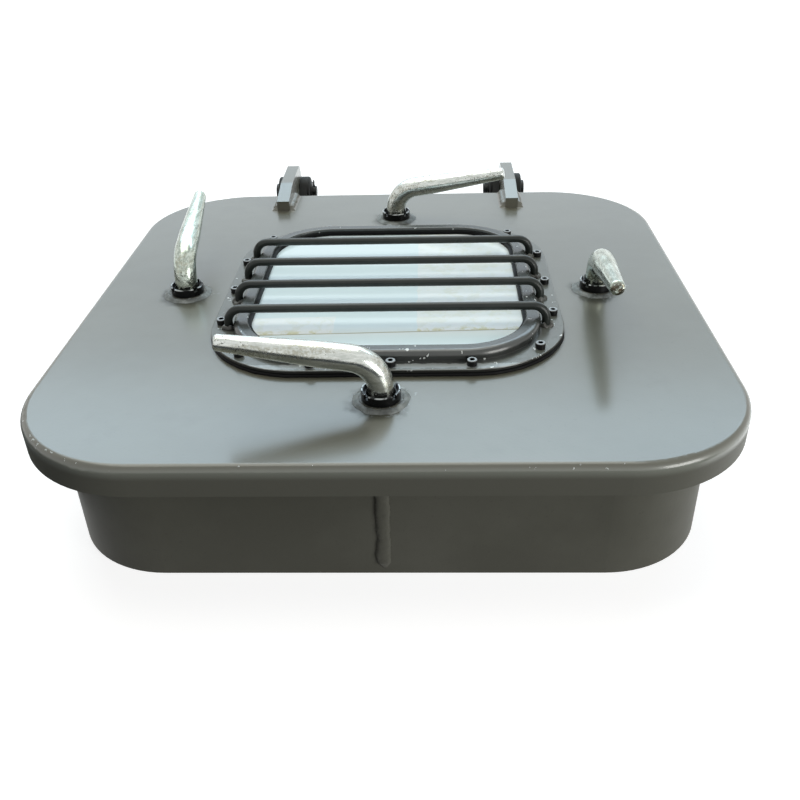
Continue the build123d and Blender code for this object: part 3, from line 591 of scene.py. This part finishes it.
lidGrey = lidPaint()
coamingGrey = coamingPaint()
weldGrey = weldPaint()
rubber = softBlack("sealRubber", rgb(9, 9, 10), 0.55)
dress(lidGrey, "lid_plate", "seal_retainer_outer", "seal_retainer_inner", "window_seat", "hinge_arm_left",
      "hinge_arm_right", *perDog("gland_boss"))
dress(framePaint(), "window_frame")
dress(coamingGrey, "coaming", *perDog("catch"))
dress(bracketPaint(), "hinge_bracket_left", "hinge_bracket_right")
dress(guardPaint(), "guard_bar_1", "guard_bar_2", "guard_bar_3", "guard_bar_4")
dress(handleZinc("handleZincAcross", rgb(190, 195, 189), rgb(222, 226, 221), (0.14, 1, 1),
                 ("X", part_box("handle_near")[0].x)), "handle_near", "handle_far")
dress(handleZinc("handleZincAlong", rgb(152, 162, 152), rgb(206, 215, 204), (1, 0.14, 1),
                 ("Y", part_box("handle_right")[0].y)), "handle_left", "handle_right")
dress(darkFitting(), "hinge_pin_left", "hinge_pin_right", "hinge_washers", "hinge_split_pins")
dress(fittingZinc(), *perDog("dog_finger", "dog_washer", "dog_nut", "dog_split_pin"))
dress(glandSteel(), *perDog("gland_nut"))
dress(screwBlack(), "window_screws")
dress(rubber, "lid_seal", "glass_bed", "glass_seal", "window_gasket")
dress(softBlack("packingYarn", rgb(58, 54, 46), 0.8), "gland_packings")
dress(windowGlass(), "window_glass")
dress(bronze(), "hinge_bush_left", "hinge_bush_right")
print("materials on all nodes")


# extra pieces

# share of a bead's height that goes into the metal below
footShare = 0.3


def addPiece(name, mesh, material, body):
    # turns a finished bmesh into a piece that rides on a body
    bmesh.ops.remove_doubles(mesh, verts=mesh.verts, dist=1e-6)
    bmesh.ops.recalc_face_normals(mesh, faces=mesh.faces)
    piece = meshObject(name, mesh, material)
    for face in piece.data.polygons:
        face.use_smooth = True
    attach(piece, body)


def addBead(mesh, rows, around, shape):
    # a closed bead: shape gives the surface point for a share of the length and an angle round the section
    verts = bmesh.ops.create_grid(mesh, x_segments=rows, y_segments=around, size=0.5)["verts"]
    for vert in verts:
        vert.co = shape(vert.co.x + 0.5, (vert.co.y + 0.5) * math.tau)


def dome(angle, width, height, power=1.0):
    # across and up in a round section whose foot goes only a little into the metal below
    level = math.sin(angle)
    return width * math.cos(angle), height * (max(0, level) ** power + footShare * min(0, level))


def mound(angle, width, height):
    # across and up in a flat section that runs out softly at both sides
    across = 1 - 2 * angle / math.pi if angle < math.pi else 2 * angle / math.pi - 3
    rounded = 1 - across * across
    return width * across, height * (rounded ** 2 if angle < math.pi else -footShare * rounded)


def lump(place, scale, seed):
    return noise.noise(Vector(place) * scale + Vector((seed * 1.7, seed * 0.9, seed * 0.3)))


def roundBead(mesh, centre, foot, bead, seed):
    # ring of weld metal round an upright axis
    def shape(share, angle):
        turn = share * math.tau
        outward = Vector((math.cos(turn), math.sin(turn), 0))
        point = Vector((centre.x, centre.y, foot)) + outward * bead["radius"]
        wide = bead["width"] * (1 + bead["lumps"] * lump(point, bead["grain"], seed))
        high = bead["height"] * (1 + bead["lumps"] * lump(point, 1.4 * bead["grain"], seed + 5))
        across, up = bead["section"](angle, wide, high)
        return point + outward * across + Vector((0, 0, up))
    addBead(mesh, rows=90, around=16, shape=shape)


def barWelds():
    # small fillets round the feet of the guard bars
    values = {"radius": 0.0048, "width": 0.003, "height": 0.0036, "lumps": 0.8, "grain": 230,
              "section": dome}
    mesh = bmesh.new()
    for number in (1, 2, 3, 4):
        low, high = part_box("guard_bar_%d" % number)
        half = (high.y - low.y) / 2
        for x in (low.x + half, high.x - half):
            roundBead(mesh, Vector((x, low.y + half, 0)), flangeTop, values, number + x)
    addPiece("barWelds", mesh, weldGrey, "lid")


def collarWelds():
    # uneven low mound of weld round each boss
    values = {"radius": 0.0218, "width": 0.0054, "height": 0.0027, "lumps": 0.35, "grain": 190,
              "section": mound, "sunk": 0.0002}
    mesh = bmesh.new()
    for number, centre in enumerate(dogCentres.values()):
        roundBead(mesh, centre, lidTop - values["sunk"], values, number)
    addPiece("collarWelds", mesh, collarPaint(), "lid")


def seamBead():
    # uneven closing weld on the coaming's front, with a kink to the left near its foot
    values = {"x": 0.002, "half": 0.0062, "proud": 0.0034, "low": 0.006, "high": skirtLow - 0.008,
              "kink": 0.0012, "kinkAt": 0.16, "kinkHalf": 0.12, "taper": 12, "slow": 0.16, "fine": 0.14,
              "wander": 0.0006, "power": 0.7}
    mesh = bmesh.new()

    def shape(share, angle):
        z = values["low"] + (values["high"] - values["low"]) * share
        end = min(1, values["taper"] * share, values["taper"] * (1 - share))
        slow = values["slow"] * lump((0, 0, z), 90, 1)
        fine = values["fine"] * lump((0, math.cos(angle), z), 400, 2)
        ripple = end * (1 + slow + fine)
        bent = values["kink"] * max(0, 1 - abs(share - values["kinkAt"]) / values["kinkHalf"])
        x = values["x"] + values["wander"] * lump((0, 0, z), 45, 3) - bent
        across, out = dome(angle, values["half"] * ripple, values["proud"] * ripple, values["power"])
        return Vector((x + across, -coamingOut - out, z))
    addBead(mesh, rows=110, around=16, shape=shape)
    addPiece("seamBead", mesh, coamingGrey, "root")


def armWelds():
    # rippled fillets along both sides of the hinge arms
    values = {"size": 0.0066, "front": 0.001, "back": 0.0075, "taper": 14, "ripple": 0.06, "pitch": 1900,
              "lumps": 0.16, "grain": 160}
    mesh = bmesh.new()
    for name in ("left", "right"):
        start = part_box("hinge_arm_" + name)[0].y + values["front"]
        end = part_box("lid_plate")[1].y - values["back"]
        for side, corner in zip((-1, 1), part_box("hinge_bush_" + name)):

            def shape(share, angle):
                y = start + (end - start) * share
                taper = min(1, values["taper"] * share, values["taper"] * (1 - share))
                rippled = values["ripple"] * math.sin(y * values["pitch"])
                uneven = values["lumps"] * lump((corner.x, y, 0), values["grain"], 4)
                size = values["size"] * taper * (1 + rippled + uneven)
                across, up = dome(angle, size, size)
                return Vector((corner.x + side * across, y, lidTop + up))
            addBead(mesh, rows=70, around=14, shape=shape)
    addPiece("armWelds", mesh, lidGrey, "lid")


def roundedWay(halfX, halfY, corner):
    # gives the point and the outward direction at a share of a rounded rectangle's length
    spans = ((halfX - corner, halfY - corner), (corner - halfX, halfY - corner),
             (corner - halfX, corner - halfY), (halfX - corner, corner - halfY))
    arc = corner * math.pi / 2
    straights = (2 * (halfX - corner), 2 * (halfY - corner))

    def way(share):
        run = share * (2 * sum(straights) + 4 * arc)
        for number, (x, y) in enumerate(spans):
            turn = number * math.pi / 2 + min(run, arc) / corner
            run = max(0, run - arc)
            outward = Vector((math.cos(turn), math.sin(turn), 0))
            straight = straights[number % 2]
            if run <= straight or number == 3:
                along = Vector((-outward.y, outward.x, 0))
                return Vector((x, y, 0)) + corner * outward + run * along, outward
            run -= straight
    return way


def gasketSqueeze():
    # black sealing compound pressed out under the window's flange
    values = {"inset": 0.0012, "width": 0.0022, "height": 0.0030, "corner": 0.098, "slow": 0.35, "fine": 0.2}
    low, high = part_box("window_frame")
    half = (high - low) / 2
    way = roundedWay(half.x - values["inset"], half.y - values["inset"], values["corner"])
    mesh = bmesh.new()

    def shape(share, angle):
        point, outward = way(share)
        swell = 1 + values["slow"] * lump(point, 60, 7) + values["fine"] * lump(point, 260, 8)
        across, up = dome(angle, values["width"] * swell, values["height"])
        return Vector((0, windowY, lidTop + up)) + point + outward * across
    addBead(mesh, rows=420, around=10, shape=shape)
    addPiece("gasketSqueeze", mesh, rubber, "lid")


barWelds()
collarWelds()
seamBead()
armWelds()
gasketSqueeze()
print("extra pieces made")


# camera, floor and light

def camera():
    # stands where the photograph was taken from, angles in radians
    values = {"place": (0.04584, -0.91022, 0.56897), "yaw": -0.0422487, "pitch": 0.5609993,
              "roll": -0.0300941, "lens": 39.27, "sensor": 36.0, "clip": 0.01}
    yaw, pitch, roll = values["yaw"], values["pitch"], values["roll"]
    forward = Vector((math.sin(yaw) * math.cos(pitch), math.cos(yaw) * math.cos(pitch), -math.sin(pitch)))
    level = Vector((math.cos(yaw), -math.sin(yaw), 0))
    upright = level.cross(forward)
    right = level * math.cos(roll) + upright * math.sin(roll)
    up = upright * math.cos(roll) - level * math.sin(roll)
    data = bpy.data.cameras.new("camera")
    data.lens = values["lens"]
    data.sensor_width = values["sensor"]
    data.clip_start = values["clip"]
    eye = addObject("camera", data)
    turned = Matrix((right, up, -forward)).transposed().to_4x4()
    eye.matrix_world = Matrix.Translation(values["place"]) @ turned
    bpy.context.scene.camera = eye


def seenBackground(tree):
    # 1 for what the camera sees directly, in gloss or through glass
    path = addNode(tree, "LightPath").outputs
    direct = calc(tree, "MAXIMUM", path["Is Camera Ray"], path["Is Glossy Ray"])
    return calc(tree, "MAXIMUM", direct, path["Is Transmission Ray"])


def floor():
    # pale to the camera and dimmer to the object, and plain white beyond the object's shadow
    values = {"radius": 9.0, "glow": 0.82, "pale": rgb(190, 190, 190), "dim": rgb(108, 108, 105),
              "fadeFrom": 0.9, "fadeTo": 2.2}
    mesh = bmesh.new()
    bmesh.ops.create_circle(mesh, cap_ends=True, segments=96, radius=values["radius"])
    material, tree = emptyMaterial("floorPaint")
    seen = seenBackground(tree)
    diffuse = addNode(tree, "BsdfDiffuse", {"Color": mixColour(tree, seen, values["dim"], values["pale"])})
    away = addNode(tree, "VectorMath", {0: objectPlace(tree)}, operation="LENGTH").outputs["Value"]
    level = spread(tree, rise(tree, away, values["fadeFrom"], values["fadeTo"]), values["glow"], 1.0)
    glow = addNode(tree, "Emission", {"Color": rgb(255, 255, 255), "Strength": product(tree, seen, level)})
    both = addNode(tree, "AddShader")
    tree.links.new(diffuse.outputs[0], both.inputs[0])
    tree.links.new(glow.outputs[0], both.inputs[1])
    addNode(tree, "OutputMaterial", {"Surface": both.outputs[0]})
    ground = meshObject("floor", mesh, material)


def reflectedCard():
    # dark sheet on the floor in front of the hatch and to its left, seen only in reflections
    values = {"front": ((-2.6, -2.6), (1.6, -0.37)), "left": ((-2.6, -0.37), (-0.37, 0.5)), "lift": 0.002,
              "tone": 0.07}
    mesh = bmesh.new()
    for low, high in (values["front"], values["left"]):
        size = Vector((high[0] - low[0], high[1] - low[1], 0))
        centre = Vector((high[0] + low[0], high[1] + low[1], 2 * values["lift"])) / 2
        bmesh.ops.create_grid(mesh, x_segments=1, y_segments=1, size=0.5,
                              matrix=Matrix.Translation(centre) @ Matrix.Diagonal((size.x, size.y, 1, 1)))
    material, tree = emptyMaterial("cardTone")
    glow = addNode(tree, "Emission", {"Color": rgb(235, 245, 250), "Strength": values["tone"]})
    addNode(tree, "OutputMaterial", {"Surface": glow.outputs[0]})
    card = meshObject("reflectedCard", mesh, material)
    card.visible_camera = card.visible_diffuse = card.visible_transmission = card.visible_shadow = False


def areaLight(name, place, size, energy, tint):
    # a rectangle of light that faces the lid's middle
    lamp = bpy.data.lights.new(name, "AREA")
    lamp.shape = "RECTANGLE"
    lamp.size, lamp.size_y = size
    lamp.energy = energy
    lamp.color = tint
    holder = addObject(name, lamp)
    away = Vector(place) - Vector((0, 0, lidTop))
    holder.matrix_world = Matrix.Translation(place) @ away.to_track_quat("Z", "Y").to_matrix().to_4x4()


def light():
    # two strips of sky behind the hatch, soft light from above and some from the front right
    fill = 0.16
    lamps = {
        "skyHigh": {"place": (0.1, 2.34, 2.33), "size": (5.0, 1.1),
                    "energy": 50.0, "tint": (0.73, 1.0, 1.19)},
        "skyLow": {"place": (0.1, 3.02, 1.18), "size": (5.0, 1.1),
                   "energy": 4.5, "tint": (0.55, 1.0, 1.35)},
        "overhead": {"place": (-0.25, 0.7, 2.3), "size": (2.4, 2.0),
                     "energy": 34.0, "tint": (0.97, 0.98, 0.9)},
        "frontRight": {"place": (1.9, -1.7, 0.55), "size": (1.2, 1.2),
                       "energy": 28.0, "tint": (1.0, 1.0, 0.97)}}
    for name, values in lamps.items():
        areaLight(name, **values)
    world = bpy.data.worlds.new("world")
    world.use_nodes = True
    bpy.context.scene.world = world
    tree = world.node_tree
    tree.nodes.clear()
    strength = calc(tree, "MULTIPLY_ADD", seenBackground(tree), 1.0 - fill, fill)
    background = addNode(tree, "Background", {"Color": rgb(255, 255, 255), "Strength": strength})
    addNode(tree, "OutputWorld", {"Surface": background.outputs[0]})


camera()
floor()
reflectedCard()
light()
bpy.context.scene.view_settings.view_transform = "Standard"
print("camera, floor and light set")
